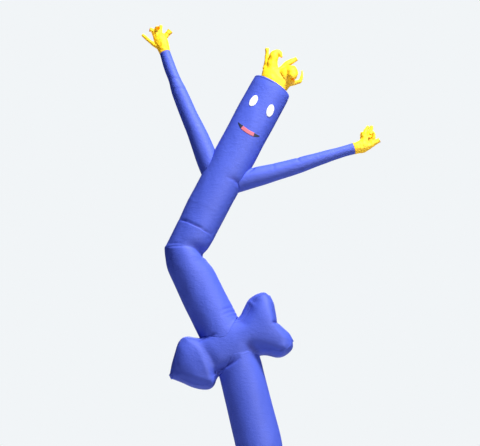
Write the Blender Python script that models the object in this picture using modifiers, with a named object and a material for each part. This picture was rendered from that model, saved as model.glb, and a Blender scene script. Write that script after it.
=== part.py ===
"""An inflatable air dancer: a tall tube of coated nylon that a blower keeps up,
with an arrow sewn across its waist, two tapered arms, gloves and a crown of hair.

Units are metres and +Z is up. The dancer stands on its open hem at Z = 0 and faces -Y,
and X runs to its right as seen from the front. Every piece is cloth, hollow and open
where air passes, so that the tube, the arrow, the arms, the gloves and the hair are
one space of air.
"""

import math
from collections import namedtuple

import bmesh
import bpy
from mathutils import Vector

# Driving dimensions
TUBE_DIAMETER = 0.457
CLOTH = 0.002
PATCH = 0.001
SEAM_GAP = 0.0003
BASE_X = -0.1787
STRAIGHT_SLEEVE = 0.40

# How much smaller than a sleeve's own bore the hole is that lets its air in
PORT_LIP = 0.008
# How far the cap reaches in under the hair's foot
CAP_LIP = 0.004
# How far a bore runs on past the open end that it makes
BORE_REACH = 0.01
# How much more cloth there is where a palm's two faces close at its top
PALM_TOP = 0.004
# How far a face patch stands off the head's cloth
PATCH_LIFT = 0.0006

BODY_SIDES = 28
ARM_SIDES = 16
HAIR_SIDES = 20
TUBE_SIDES = 8
EYE_COLUMNS = 9
SMILE_COLUMNS = 7

# One ring of a tube: its centre, the lean of its axis from the vertical towards +X in
# degrees, its half width across the front, its half depth, and the number of rings
# that follow it before the next row. Later rows of a tube lie further along it.
Row = namedtuple("Row", "x y z lean wide deep rings")

R = TUBE_DIAMETER / 2

BODY_LOWER = (
    Row(0.000, 0, 0.000, 0, R, R, 1),
    Row(0.000, 0, STRAIGHT_SLEEVE, 0, R, R, 8),
    Row(0.148, 0, 1.509, -14.5, 0.2265, 0.2245, 2),
    Row(-0.036, 0, 2.236, -15.0, 0.2220, 0.2170, 1),
    Row(-0.075, 0, 2.360, -20.0, 0.2180, 0.2150, 1),
)

BODY_UPPER = (
    Row(-0.180, 0, 2.500, -27.0, 0.2200, 0.2150, 1),
    Row(-0.270, 0, 2.680, -26.5, 0.2200, 0.2160, 1),
    Row(-0.403, 0, 2.940, -26.5, 0.2180, 0.2140, 1),
    Row(-0.490, 0, 3.120, -23.0, 0.2130, 0.2130, 1),
    Row(-0.548, 0, 3.250, -12.0, 0.2160, 0.2150, 1),
    Row(-0.570, 0, 3.330, 1.0, 0.2070, 0.2130, 1),
    Row(-0.584, 0, 3.378, 8.5, 0.1990, 0.2060, 1),
    Row(-0.590, 0, 3.402, 11.0, 0.1920, 0.1900, 1),
    Row(-0.582, 0, 3.424, 13.0, 0.1950, 0.1970, 1),
    Row(-0.558, 0, 3.474, 19.0, 0.1990, 0.2030, 1),
    Row(-0.510, 0, 3.570, 27.0, 0.2030, 0.2050, 1),
    Row(-0.484, 0, 3.620, 28.5, 0.2050, 0.2050, 1),
    Row(-0.479, 0, 3.630, 28.5, 0.2030, 0.1970, 1),
    Row(-0.472, 0, 3.643, 28.0, 0.2040, 0.2030, 1),
    Row(-0.393, 0, 3.809, 27.0, 0.2090, 0.2070, 1),
    Row(-0.331, 0, 3.930, 27.0, 0.2110, 0.2100, 2),
    Row(0.069, 0, 4.704, 27.5, 0.2150, 0.2150, 1),
    Row(0.206, 0, 4.966, 27.5, 0.2150, 0.2150, 1),
    Row(0.272, 0, 5.094, 28.5, 0.2140, 0.2140, 1),
    Row(0.3045, 0, 5.156, 31.0, 0.2080, 0.2080, 1),
)

ARM_LEFT = (
    Row(-0.285, 0, 4.160, -21.0, 0.1160, 0.1160, 1),
    Row(-0.364, 0, 4.355, -21.0, 0.1140, 0.1140, 1),
    Row(-0.447, 0, 4.574, -21.0, 0.1060, 0.1080, 1),
    Row(-0.500, 0, 4.704, -22.0, 0.0970, 0.0990, 1),
    Row(-0.558, 0, 4.834, -24.0, 0.0900, 0.0920, 1),
    Row(-0.666, 0, 5.097, -22.0, 0.0800, 0.0820, 1),
    Row(-0.715, 0, 5.229, -20.0, 0.0650, 0.0690, 1),
    Row(-0.767, 0, 5.361, -21.0, 0.0620, 0.0640, 1),
    Row(-0.825, 0, 5.538, -20.0, 0.0560, 0.0560, 1),
)

ARM_RIGHT = (
    Row(-0.090, 0, 4.118, 74.0, 0.1070, 0.1070, 1),
    Row(0.090, 0, 4.170, 74.0, 0.1050, 0.1050, 1),
    Row(0.182, 0, 4.194, 75.0, 0.1010, 0.1020, 1),
    Row(0.348, 0, 4.239, 74.0, 0.0900, 0.0920, 1),
    Row(0.514, 0, 4.287, 73.0, 0.0840, 0.0850, 1),
    Row(0.681, 0, 4.340, 72.5, 0.0750, 0.0760, 1),
    Row(0.847, 0, 4.394, 72.5, 0.0650, 0.0670, 1),
    Row(1.015, 0, 4.447, 73.0, 0.0570, 0.0600, 1),
    Row(1.152, 0, 4.487, 75.0, 0.0570, 0.0570, 1),
)

# The gloves and the hair: a palm that narrows to its closed top, then each finger's
# path with its radius. A finger is a tube, open at its tip.
Joint = namedtuple("Joint", "x y z radius")

HAND_LEFT_PALM = (
    Row(-0.8252, 0, 5.5385, -20.0, 0.0560, 0.0560, 1),
    Row(-0.846, 0, 5.606, -16.0, 0.0660, 0.0560, 1),
    Row(-0.868, 0, 5.668, -12.0, 0.0710, 0.0480, 1),
    Row(-0.878, 0, 5.722, -5.0, 0.0640, 0.0380, 1),
    Row(-0.879, 0, 5.752, 0.0, 0.0480, 0.0260, 1),
)
HAND_LEFT_FINGERS = (
    (
        Joint(-0.890, 0.000, 5.606, 0.024),
        Joint(-0.969, 0.000, 5.657, 0.020),
        Joint(-1.022, 0.000, 5.696, 0.018),
        Joint(-1.068, 0.000, 5.735, 0.017),
    ),
    (
        Joint(-0.900, 0.000, 5.690, 0.028),
        Joint(-0.957, 0.000, 5.760, 0.022),
        Joint(-0.990, 0.000, 5.797, 0.025),
    ),
    (
        Joint(-0.895, -0.005, 5.710, 0.026),
        Joint(-0.913, -0.020, 5.783, 0.024),
        Joint(-0.912, -0.045, 5.818, 0.022),
        Joint(-0.900, -0.080, 5.812, 0.022),
    ),
    (
        Joint(-0.868, 0.008, 5.710, 0.026),
        Joint(-0.864, 0.022, 5.790, 0.021),
        Joint(-0.862, 0.026, 5.846, 0.020),
    ),
    (
        Joint(-0.850, 0.000, 5.660, 0.030),
        Joint(-0.797, 0.000, 5.735, 0.026),
        Joint(-0.764, 0.000, 5.780, 0.028),
    ),
)

HAND_RIGHT_PALM = (
    Row(1.1525, 0, 4.4872, 75.0, 0.0570, 0.0570, 1),
    Row(1.213, 0, 4.501, 72.0, 0.0660, 0.0560, 1),
    Row(1.266, 0, 4.531, 58.0, 0.0720, 0.0500, 1),
    Row(1.300, 0, 4.574, 42.0, 0.0660, 0.0400, 1),
    Row(1.320, 0, 4.606, 32.0, 0.0480, 0.0260, 1),
)
HAND_RIGHT_FINGERS = (
    (
        Joint(1.275, 0.000, 4.560, 0.030),
        Joint(1.287, 0.000, 4.666, 0.025),
        Joint(1.313, 0.000, 4.733, 0.018),
    ),
    (
        Joint(1.310, 0.012, 4.580, 0.026),
        Joint(1.342, 0.026, 4.686, 0.022),
        Joint(1.356, 0.030, 4.745, 0.016),
    ),
    (
        Joint(1.315, -0.008, 4.560, 0.028),
        Joint(1.358, -0.030, 4.625, 0.024),
        Joint(1.362, -0.058, 4.655, 0.022),
    ),
    (
        Joint(1.270, -0.008, 4.500, 0.034),
        Joint(1.357, -0.018, 4.541, 0.030),
        Joint(1.424, -0.022, 4.574, 0.027),
    ),
    (
        Joint(1.255, 0.006, 4.540, 0.026),
        Joint(1.234, 0.026, 4.623, 0.022),
        Joint(1.246, 0.034, 4.668, 0.018),
    ),
)

HAIR_LEAN = 31.0
HAIR_PALM = (
    Row(0.3161, 0, 5.1752, HAIR_LEAN, 0.1500, 0.1050, 1),
    Row(0.342, 0, 5.225, 30.0, 0.1620, 0.1050, 1),
    Row(0.362, 0, 5.280, 31.0, 0.1660, 0.0900, 1),
    Row(0.376, 0, 5.325, 32.0, 0.1550, 0.0660, 1),
    Row(0.384, 0, 5.350, 32.0, 0.1200, 0.0420, 1),
)
HAIR_FINGERS = (
    (
        Joint(0.272, 0.012, 5.330, 0.060),
        Joint(0.268, 0.020, 5.430, 0.042),
        Joint(0.265, 0.020, 5.510, 0.024),
        Joint(0.260, 0.020, 5.599, 0.018),
    ),
    (
        Joint(0.300, -0.012, 5.300, 0.080),
        Joint(0.302, -0.030, 5.410, 0.076),
        Joint(0.332, -0.034, 5.490, 0.062),
        Joint(0.388, -0.040, 5.502, 0.042),
        Joint(0.424, -0.046, 5.464, 0.020),
    ),
    (
        Joint(0.405, 0.020, 5.330, 0.036),
        Joint(0.470, 0.030, 5.402, 0.034),
        Joint(0.578, 0.030, 5.480, 0.027),
    ),
    (
        Joint(0.420, -0.010, 5.245, 0.085),
        Joint(0.496, -0.035, 5.302, 0.086),
        Joint(0.534, -0.095, 5.290, 0.062),
        Joint(0.530, -0.145, 5.235, 0.044),
    ),
    (
        Joint(0.440, 0.010, 5.190, 0.032),
        Joint(0.548, 0.010, 5.205, 0.026),
        Joint(0.610, 0.008, 5.246, 0.022),
        Joint(0.624, 0.004, 5.342, 0.013),
    ),
)

# The arrow's sections, from its tip to its tail: the place of the side band's middle
# along the axis, the half widths above and below the axis, the half depth, how far the
# seams stand back from the band's middle, and the depth of the tail's notch.
Slice = namedtuple("Slice", "along up down deep set_back notch")

ARROW_TIP = (-0.717, 2.135)
ARROW_RISE = 27.0
ARROW = (
    Slice(0.000, 0.022, 0.022, 0.150, 0.085, 0.0),
    Slice(0.060, 0.102, 0.093, 0.190, 0.060, 0.0),
    Slice(0.130, 0.187, 0.178, 0.215, 0.032, 0.0),
    Slice(0.210, 0.264, 0.246, 0.235, 0.010, 0.0),
    Slice(0.285, 0.290, 0.282, 0.242, 0.000, 0.0),
    Slice(0.345, 0.266, 0.270, 0.242, 0.000, 0.0),
    Slice(0.400, 0.223, 0.226, 0.240, 0.000, 0.0),
    Slice(0.458, 0.200, 0.211, 0.238, 0.000, 0.0),
    Slice(0.655, 0.200, 0.211, 0.238, 0.000, 0.0),
    Slice(0.858, 0.216, 0.212, 0.238, 0.000, 0.0),
    Slice(0.945, 0.270, 0.238, 0.242, 0.000, 0.0),
    Slice(1.024, 0.330, 0.308, 0.246, 0.000, 0.0),
    Slice(1.092, 0.346, 0.334, 0.246, 0.000, 0.01),
    Slice(1.165, 0.342, 0.324, 0.236, -0.005, 0.03),
    Slice(1.215, 0.326, 0.294, 0.210, -0.015, 0.05),
    Slice(1.240, 0.280, 0.244, 0.175, -0.025, 0.06),
)
NOTCH_REACH = 0.65
NOSE_BULGE = 0.010
TAIL_BULGE = 0.012

# A quarter of the arrow's section, from the middle of the side band over the seam to
# the middle of the front panel: fractions of the half width and of the half depth.
Corner = namedtuple("Corner", "across deep")
ARROW_QUARTER = (
    Corner(1.000, 0.000),
    Corner(0.992, 0.320),
    Corner(0.955, 0.610),
    Corner(0.880, 0.820),
    Corner(0.640, 0.925),
    Corner(0.330, 0.985),
    Corner(0.000, 1.000),
)

# The cap: rings from its sewn edge to the hair's hole, as a share of the way inwards
# and a height above the rim.
CapRing = namedtuple("CapRing", "inwards height")
CAP = (
    CapRing(0.00, 0.0024),
    CapRing(0.25, 0.0090),
    CapRing(0.60, 0.0170),
    CapRing(1.00, 0.0220),
)

# The face, measured on the head's cloth: along runs down from the rim's centre and
# across towards +X, and a tilt in degrees leans an eye's top towards +X.
Eye = namedtuple("Eye", "across along tilt half_width half_height")
EYES = {
    "eye_left": Eye(-0.076, 0.281, 0.0, 0.046, 0.066),
    "eye_right": Eye(0.133, 0.289, -8.0, 0.046, 0.066),
}
# An oval's outermost columns stand a little in from its two ends, so that they have
# a length: the share of a half turn that is left out at each end.
EYE_END = 0.06

# The mouth is an arc in pieces: where each starts and ends in degrees, and its width
# at both ends. Its centre is across and along the head as an eye's is.
SMILE_RADIUS = 0.278
SMILE_CENTRE = (0.045, 0.325)
SMILE_PIECES = {
    "smile_dark_left": (-34.5, -20.2, 0.006, 0.040),
    "smile_red": (-19.8, 10.8, 0.040, 0.040),
    "smile_dark_right": (11.2, 25.5, 0.040, 0.006),
}

BLUE = (0.075, 0.105, 0.560)
YELLOW = (0.900, 0.680, 0.020)
WHITE = (0.900, 0.900, 0.900)
RED = (0.760, 0.090, 0.110)
BLACK = (0.015, 0.015, 0.025)


def clear_scene():
    for obj in list(bpy.data.objects):
        bpy.data.objects.remove(obj, do_unlink=True)


def new_collection(name, parent):
    collection = bpy.data.collections.new(name)
    parent.children.link(collection)
    return collection


def material(name, colour, roughness):
    mat = bpy.data.materials.new(name)
    mat.use_nodes = True
    shader = mat.node_tree.nodes["Principled BSDF"]
    shader.inputs["Base Color"].default_value = (*colour, 1.0)
    shader.inputs["Roughness"].default_value = roughness
    shader.inputs["Metallic"].default_value = 0.0
    return mat


def add_object(name, mesh, collection, mat=None):
    """Place a mesh whose points are measured from the base's centre."""
    obj = bpy.data.objects.new(name, mesh)
    obj.location.x = BASE_X
    collection.objects.link(obj)
    if mat:
        mesh.materials.append(mat)
        mesh.shade_smooth()
        mesh.set_sharp_from_angle(angle=math.radians(50))
    else:
        obj.hide_render = True
        obj.display_type = "WIRE"
    return obj


def loft(name, rings, closed):
    """A skin through rings of equally many points; closed adds a flat face at each end."""
    bm = bmesh.new()
    loops = [[bm.verts.new(point) for point in ring] for ring in rings]
    sides = len(loops[0])
    for low, high in zip(loops, loops[1:]):
        for k in range(sides):
            after = (k + 1) % sides
            bm.faces.new((low[k], low[after], high[after], high[k]))
    if closed:
        bm.faces.new(list(reversed(loops[0])))
        bm.faces.new(loops[-1])
    mesh = bpy.data.meshes.new(name)
    bm.to_mesh(mesh)
    bm.free()
    return mesh


def heading(lean):
    """The direction of an axis that leans from the vertical towards +X."""
    return Vector((math.sin(math.radians(lean)), 0.0, math.cos(math.radians(lean))))


def smooth_rows(rows):
    """The rows of a tube with the rings between them, on a curve along their axes."""
    result = []
    for start, end in zip(rows, rows[1:]):
        first = Vector((start.x, start.y, start.z))
        last = Vector((end.x, end.y, end.z))
        span = (last - first).length
        leave = heading(start.lean) * span
        arrive = heading(end.lean) * span
        for step in range(start.rings):
            t = step / start.rings
            place = (
                first * (2 * t**3 - 3 * t**2 + 1)
                + leave * (t**3 - 2 * t**2 + t)
                + last * (3 * t**2 - 2 * t**3)
                + arrive * (t**3 - t**2)
            )
            slope = (
                (last - first) * (6 * t - 6 * t**2)
                + leave * (3 * t**2 - 4 * t + 1)
                + arrive * (3 * t**2 - 2 * t)
            )
            lean = math.degrees(math.atan2(slope.x, slope.z)) if step else start.lean
            wide = start.wide + (end.wide - start.wide) * t
            deep = start.deep + (end.deep - start.deep) * t
            result.append(Row(place.x, place.y, place.z, lean, wide, deep, 1))
    result.append(rows[-1])
    return result


def tube_rings(rows, sides, grow=0.0):
    """A ring of points for each row, grown outwards by a distance."""
    rings = []
    for row in smooth_rows(rows):
        axis = heading(row.lean)
        across = Vector((axis.z, 0.0, -axis.x))
        deep = Vector((0.0, 1.0, 0.0))
        centre = Vector((row.x, row.y, row.z))
        ring = []
        for k in range(sides):
            turn = 2 * math.pi * k / sides
            reach = across * (row.wide + grow) * math.cos(turn)
            ring.append(centre + reach + deep * (row.deep + grow) * math.sin(turn))
        rings.append(ring)
    return rings


def finger_rings(joints, grow=0.0, lengthen=0.0):
    """Rings along a finger's path, each square to the path where it stands."""
    points = [Vector((joint.x, joint.y, joint.z)) for joint in joints]
    points[-1] += (points[-1] - points[-2]).normalized() * lengthen
    rings = []
    aside = Vector((0.0, 1.0, 0.0))
    for place, point in enumerate(points):
        before = points[max(place - 1, 0)]
        after = points[min(place + 1, len(points) - 1)]
        axis = (after - before).normalized()
        across = aside.cross(axis).normalized()
        aside = axis.cross(across).normalized()
        radius = joints[place].radius + grow
        ring = []
        for k in range(TUBE_SIDES):
            turn = 2 * math.pi * (k + 0.5) / TUBE_SIDES
            reach = across * math.cos(turn) + aside * math.sin(turn)
            ring.append(point + reach * radius)
        rings.append(ring)
    return rings


def cut(obj, name, cutter, operation="DIFFERENCE"):
    boolean = obj.modifiers.new(name, "BOOLEAN")
    boolean.operation = operation
    if isinstance(cutter, bpy.types.Collection):
        boolean.operand_type = "COLLECTION"
        boolean.collection = cutter
    else:
        boolean.object = cutter


def give_wall(obj, thickness):
    """The cloth's thickness, inwards from the outer face."""
    solidify = obj.modifiers.new("cloth", "SOLIDIFY")
    solidify.thickness = thickness
    solidify.offset = -1.0
    solidify.use_even_offset = True


def make_tube(name, rows, sides, parts, mat):
    obj = add_object(name, loft(name, tube_rings(rows, sides), False), parts, mat)
    give_wall(obj, CLOTH)
    return obj


def make_cutter(name, rows, sides, grow, cutters):
    return add_object(name, loft(name, tube_rings(rows, sides, grow), True), cutters)


def arrow_point(cut_at, corner, grow=0.0):
    """A point of one of the arrow's sections."""
    axis = heading(90.0 - ARROW_RISE)
    upwards = Vector((-axis.z, 0.0, axis.x))
    tip = Vector((ARROW_TIP[0], 0.0, ARROW_TIP[1]))
    width = cut_at.up if corner.across > 0 else cut_at.down
    notch = cut_at.notch * max(0.0, 1 - abs(corner.across) / NOTCH_REACH)
    along = cut_at.along + cut_at.set_back * corner.deep**2 - notch
    sideways = corner.across * width + math.copysign(grow, corner.across)
    depth = -corner.deep * cut_at.deep - math.copysign(grow, corner.deep)
    return tip + axis * along + upwards * sideways + Vector((0, depth, 0))


def arrow_mesh(name, grow=0.0):
    """The sections joined, and each end closed by the side band, which bulges a little."""
    mirrored = [Corner(-corner.across, corner.deep) for corner in reversed(ARROW_QUARTER[:-1])]
    front = list(ARROW_QUARTER) + mirrored
    back = [Corner(corner.across, -corner.deep) for corner in reversed(front[1:-1])]
    bm = bmesh.new()
    loops = []
    for cut_at in ARROW:
        loops.append([bm.verts.new(arrow_point(cut_at, corner, grow)) for corner in front + back])
    sides = len(loops[0])
    for low, high in zip(loops, loops[1:]):
        for k in range(sides):
            after = (k + 1) % sides
            bm.faces.new((low[k], low[after], high[after], high[k]))
    axis = heading(90.0 - ARROW_RISE)
    ends = ((loops[0], ARROW[0], -NOSE_BULGE - grow), (loops[-1], ARROW[-1], TAIL_BULGE + grow))
    for loop, cut_at, bulge in ends:
        band = [loop[0]]
        for corner in front[1:-1]:
            middle = arrow_point(cut_at, Corner(corner.across, 0.0))
            band.append(bm.verts.new(middle + axis * bulge))
        band.append(loop[sides // 2])
        for side in (1, -1):
            for k in range(sides // 2):
                near, far = loop[(side * k) % sides], loop[(side * (k + 1)) % sides]
                bm.faces.new(dict.fromkeys((near, band[k], band[k + 1], far)))
    bmesh.ops.recalc_face_normals(bm, faces=bm.faces[:])
    mesh = bpy.data.meshes.new(name)
    bm.to_mesh(mesh)
    bm.free()
    return mesh


def make_arrow(parts, mat):
    obj = add_object("arrow", arrow_mesh("arrow"), parts, mat)
    give_wall(obj, CLOTH)
    return obj


def make_cap(parts, mat):
    """The domed top panel, from the head's rim to the foot of the hair."""
    rim = BODY_UPPER[-1]
    hole = HAIR_PALM[0]
    axis = heading(rim.lean)
    edge = tube_rings((rim, rim), BODY_SIDES)[0]
    inner_row = rim._replace(wide=hole.wide - CAP_LIP, deep=hole.deep - CAP_LIP)
    inner = tube_rings((inner_row, inner_row), BODY_SIDES)[0]
    rings = []
    for step in CAP:
        ring = []
        for outside, inside in zip(edge, inner):
            ring.append(outside.lerp(inside, step.inwards) + axis * step.height)
        rings.append(ring)
    obj = add_object("head_cap", loft("head_cap", rings, False), parts, mat)
    give_wall(obj, CLOTH)
    return obj


def make_glove(name, palm, fingers, sides, parts, cutters, mat):
    """A palm with its fingers, hollowed through the cuff and every finger's open end."""
    obj = add_object(name, loft(name, tube_rings(palm, sides), True), parts, mat)
    outers = new_collection(name + "_fingers", cutters)
    bores = new_collection(name + "_bores", cutters)
    foot = palm[0]
    down = heading(foot.lean) * -BORE_REACH
    below = foot._replace(x=foot.x + down.x, z=foot.z + down.z)
    top = palm[-1]
    inner_palm = (below,) + palm[:-1] + (top._replace(deep=top.deep - PALM_TOP),)
    hollow = loft(name + "_palm_bore", tube_rings(inner_palm, sides, -CLOTH), True)
    add_object(name + "_palm_bore", hollow, bores)
    for number, joints in enumerate(fingers, 1):
        label = f"{name}_finger_{number}"
        add_object(label, loft(label, finger_rings(joints), True), outers)
        bore = loft(label + "_bore", finger_rings(joints, -CLOTH, BORE_REACH), True)
        add_object(label + "_bore", bore, bores)
    cut(obj, "fingers", outers, "UNION")
    cut(obj, "hollow", bores)
    return obj


def head_point(across, along, lift):
    """A point on the face, wrapped round the head, lifted off its cloth."""
    top = BODY_UPPER[-1]
    chest = BODY_UPPER[-4]
    axis = (Vector((top.x, 0, top.z)) - Vector((chest.x, 0, chest.z))).normalized()
    sideways = Vector((axis.z, 0.0, -axis.x))
    radius = chest.wide + lift
    turn = across / radius
    out = sideways * math.sin(turn) - Vector((0, 1, 0)) * math.cos(turn)
    return Vector((top.x, 0, top.z)) - axis * along + out * radius


def patch(name, columns, parts, mat):
    """A thin patch on the face: columns of (across, along) points, from side to side."""
    bm = bmesh.new()
    skins = []
    for lift in (PATCH_LIFT, PATCH_LIFT + PATCH):
        skins.append([[bm.verts.new(head_point(a, b, lift)) for a, b in col] for col in columns])
    under, over = skins
    rows = len(columns[0])
    for left, right in zip(range(len(columns)), range(1, len(columns))):
        for k in range(rows - 1):
            bm.faces.new((over[left][k], over[left][k + 1], over[right][k + 1], over[right][k]))
            bm.faces.new((under[left][k], under[right][k], under[right][k + 1], under[left][k + 1]))
        for k in (0, rows - 1):
            bm.faces.new((over[left][k], over[right][k], under[right][k], under[left][k]))
    for column in (0, len(columns) - 1):
        for k in range(rows - 1):
            edge = (over[column][k], over[column][k + 1], under[column][k + 1], under[column][k])
            bm.faces.new(edge)
    bmesh.ops.recalc_face_normals(bm, faces=bm.faces[:])
    mesh = bpy.data.meshes.new(name)
    bm.to_mesh(mesh)
    bm.free()
    return add_object(name, mesh, parts, mat)


def make_eye(name, eye, parts, mat):
    """An oval, in columns that shorten towards its two sides."""
    tilt = math.radians(eye.tilt)
    columns = []
    for step in range(EYE_COLUMNS):
        turn = math.pi * (EYE_END + (1 - 2 * EYE_END) * step / (EYE_COLUMNS - 1))
        aside = -math.cos(turn)
        reach = math.sin(turn)
        column = []
        for place in (-1.0, -0.5, 0.0, 0.5, 1.0):
            x = eye.half_width * aside
            y = eye.half_height * reach * place
            across = x * math.cos(tilt) - y * math.sin(tilt)
            along = x * math.sin(tilt) + y * math.cos(tilt)
            column.append((eye.across + across, eye.along + along))
        columns.append(column)
    return patch(name, columns, parts, mat)


def make_smile_piece(name, first, last, first_width, last_width, parts, mat):
    """A stretch of the mouth's arc, whose width runs evenly from end to end."""
    columns = []
    for step in range(SMILE_COLUMNS):
        t = step / (SMILE_COLUMNS - 1)
        turn = math.radians(first + (last - first) * t)
        half = (first_width + (last_width - first_width) * t) / 2
        column = []
        for place in (-1.0, 0.0, 1.0):
            radius = SMILE_RADIUS + half * place
            across = SMILE_CENTRE[0] + radius * math.sin(turn)
            along = SMILE_CENTRE[1] + radius * math.cos(turn)
            column.append((across, along))
        columns.append(column)
    return patch(name, columns, parts, mat)


def main():
    clear_scene()
    scene = bpy.context.scene.collection
    parts = new_collection("air_dancer", scene)
    cutters = new_collection("cutters", scene)
    cutters.hide_render = True

    blue = material("blue_nylon", BLUE, 0.55)
    yellow = material("yellow_nylon", YELLOW, 0.5)
    white = material("white_patch", WHITE, 0.5)
    red = material("red_patch", RED, 0.5)
    black = material("black_patch", BLACK, 0.5)

    lower = make_tube("body_lower", BODY_LOWER, BODY_SIDES, parts, blue)
    upper = make_tube("body_upper", BODY_UPPER, BODY_SIDES, parts, blue)
    arrow = make_arrow(parts, blue)
    left = make_tube("arm_left", ARM_LEFT, ARM_SIDES, parts, blue)
    right = make_tube("arm_right", ARM_RIGHT, ARM_SIDES, parts, blue)

    arrow_space = add_object("arrow_space", arrow_mesh("arrow_space", SEAM_GAP), cutters)
    cut(lower, "arrow seam", arrow_space)
    cut(upper, "arrow seam", arrow_space)
    lip = -CLOTH - PORT_LIP
    lower_port = make_cutter("lower_port", BODY_LOWER[-3:], BODY_SIDES, lip, cutters)
    upper_port = make_cutter("upper_port", BODY_UPPER[:3], BODY_SIDES, lip, cutters)
    cut(arrow, "air from below", lower_port)
    cut(arrow, "air upwards", upper_port)

    body_space = make_cutter("body_space", BODY_UPPER, BODY_SIDES, SEAM_GAP, cutters)
    cut(left, "shoulder seam", body_space)
    cut(right, "shoulder seam", body_space)
    left_port = make_cutter("left_port", ARM_LEFT[:4], ARM_SIDES, lip, cutters)
    right_port = make_cutter("right_port", ARM_RIGHT[:4], ARM_SIDES, lip, cutters)
    cut(upper, "air to the left arm", left_port)
    cut(upper, "air to the right arm", right_port)

    make_cap(parts, blue)
    make_glove("hand_left", HAND_LEFT_PALM, HAND_LEFT_FINGERS, ARM_SIDES, parts, cutters, yellow)
    make_glove("hand_right", HAND_RIGHT_PALM, HAND_RIGHT_FINGERS, ARM_SIDES, parts, cutters, yellow)
    make_glove("hair", HAIR_PALM, HAIR_FINGERS, HAIR_SIDES, parts, cutters, yellow)

    for name, eye in EYES.items():
        make_eye(name, eye, parts, white)
    for name, ends in SMILE_PIECES.items():
        make_smile_piece(name, *ends, parts, red if name == "smile_red" else black)


main()
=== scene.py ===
"""An inflatable air dancer in coated nylon, dressed for a studio picture.

Every piece is cut flat, sewn and blown up: the arrow at the waist, the tube below and
above it, the cap, the arms, the gloves, the hair and the face. Units are metres, and
the tables measure from the middle of the open foot: x to the right, y to the back, z up.
"""
import math
from collections import namedtuple

import bmesh
import bpy
import numpy as np
from mathutils import Matrix, Vector, noise
from mathutils.bvhtree import BVHTree


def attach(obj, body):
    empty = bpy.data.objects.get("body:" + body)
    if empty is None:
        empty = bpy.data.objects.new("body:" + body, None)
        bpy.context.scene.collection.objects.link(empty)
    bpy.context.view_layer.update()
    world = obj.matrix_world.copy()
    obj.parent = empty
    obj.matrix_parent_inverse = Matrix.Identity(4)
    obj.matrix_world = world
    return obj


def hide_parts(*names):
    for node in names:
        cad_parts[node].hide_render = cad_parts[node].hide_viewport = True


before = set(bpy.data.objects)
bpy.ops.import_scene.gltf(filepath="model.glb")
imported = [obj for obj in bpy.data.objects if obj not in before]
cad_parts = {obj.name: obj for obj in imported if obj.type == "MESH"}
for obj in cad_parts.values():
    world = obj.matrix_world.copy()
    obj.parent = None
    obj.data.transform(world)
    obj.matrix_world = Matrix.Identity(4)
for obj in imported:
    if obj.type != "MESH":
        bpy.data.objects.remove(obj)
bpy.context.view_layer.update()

# The arrow through the waist
# A front and a back panel in the arrow's outline with a side band between them, in blue
# coated nylon, blown up by the tube's air. The seams stand proud as ridges, and the
# cloth pulls straight from corner to corner and gathers where the tube is sewn in.
FOOT = Vector((-0.1787, 0.0, 0.0))
CLOTH = 0.0012
CREASE_SPREAD = 8
CREASE_DEPTH = 0.004
BLUE = (0.062, 0.101, 0.530)
# The darker blue that the creases take is painted shade.
BLUE_CREASE_SHADE = (0.020, 0.030, 0.260)

Slice = namedtuple("Slice", "along up down deep set_back notch")
ARROW_TIP = Vector((-0.717, 0.0, 2.135))
ARROW_RISE = 27.0
ARROW = (
    Slice(0.000, 0.022, 0.022, 0.150, 0.085, 0.0),
    Slice(0.060, 0.102, 0.093, 0.190, 0.060, 0.0),
    Slice(0.130, 0.187, 0.178, 0.215, 0.032, 0.0),
    Slice(0.210, 0.264, 0.246, 0.235, 0.010, 0.0),
    Slice(0.285, 0.290, 0.282, 0.242, 0.000, 0.0),
    Slice(0.345, 0.266, 0.270, 0.242, 0.000, 0.0),
    Slice(0.400, 0.223, 0.226, 0.240, 0.000, 0.0),
    Slice(0.458, 0.200, 0.211, 0.238, 0.000, 0.0),
    Slice(0.655, 0.200, 0.211, 0.238, 0.000, 0.0),
    Slice(0.858, 0.216, 0.212, 0.238, 0.000, 0.0),
    Slice(0.945, 0.270, 0.238, 0.242, 0.000, 0.0),
    Slice(1.024, 0.330, 0.308, 0.246, 0.000, 0.0),
    Slice(1.092, 0.346, 0.334, 0.246, 0.000, 0.01),
    Slice(1.165, 0.342, 0.324, 0.236, -0.005, 0.03),
    Slice(1.215, 0.326, 0.294, 0.210, -0.015, 0.05),
    Slice(1.240, 0.280, 0.244, 0.175, -0.025, 0.06),
)
NOTCH_REACH = 0.65
NOSE_BULGE = -0.010
TAIL_BULGE = 0.012
ARROW_CELLS_ROUND = 176
ARROW_CELLS_ALONG = 132
ARROW_CELLS_DEEP = 32
CORNER_RELAX = 8

# Half the front panel's section and half the side band's, from seam to seam: shares of
# the half width and the half depth.
Corner = namedtuple("Corner", "across deep")
PANEL = tuple(Corner(*c) for c in (
    (0.88, 0.74), (0.65, 0.885), (0.34, 0.972), (0.0, 1.0), (-0.34, 0.972), (-0.65, 0.885), (-0.88, 0.74),
))
BAND = tuple(Corner(*c) for c in (
    (-0.88, 0.74), (-0.955, 0.54), (-0.992, 0.28), (-1.0, 0.0), (-0.992, -0.28), (-0.955, -0.54), (-0.88, -0.74),
))

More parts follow.
